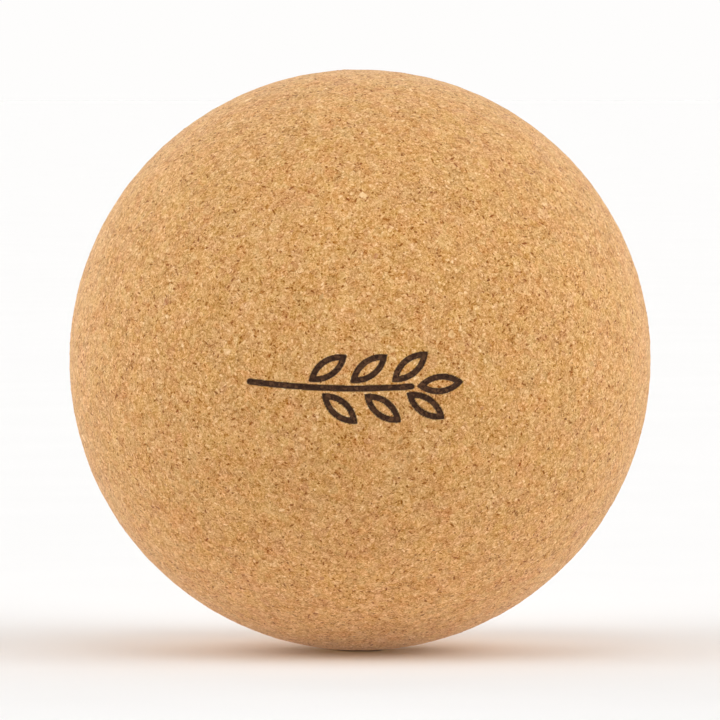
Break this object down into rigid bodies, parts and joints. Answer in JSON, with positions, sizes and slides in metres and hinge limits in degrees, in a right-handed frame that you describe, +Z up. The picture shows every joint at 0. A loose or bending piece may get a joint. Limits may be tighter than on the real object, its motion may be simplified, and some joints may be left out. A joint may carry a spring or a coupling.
{
  "type": "cork massage ball",
  "caption": "Solid ball of pressed cork granules for rolling out sore muscles, with a small leaf sprig burnt into its front.",
  "frame": {"origin": "centre of the ball", "axes": "+Z up as it lies on a floor, -Y to the front, where the burnt sprig is, 3 mm below the middle, +X to the right as the sprig is looked at"},
  "size_m": [0.1, 0.1, 0.1],
  "materials": {
    "cork": "fine agglomerated cork, sanded, matte",
    "cork_pale": "inner cork granule, sanded, matte",
    "cork_golden": "golden cork granule, sanded, matte",
    "cork_tan": "tan cork granule, sanded, matte",
    "cork_russet": "russet bark granule, sanded, matte",
    "cork_olive": "weathered bark granule, sanded, matte",
    "cork_dark": "dark bark crumb, sanded, matte",
    "char": "charred cork, rough, matte"
  },
  "bodies": {
    "root": {"cork_body": "cork", "pale_granules": "cork_pale", "golden_granules": "cork_golden", "tan_granules": "cork_tan", "russet_granules": "cork_russet", "olive_granules": "cork_olive", "dark_granules": "cork_dark", "char_stem": "char", "char_upper_leaves": "char", "char_lower_leaves": "char", "char_tip_leaf": "char"}
  },
  "joints": []
}
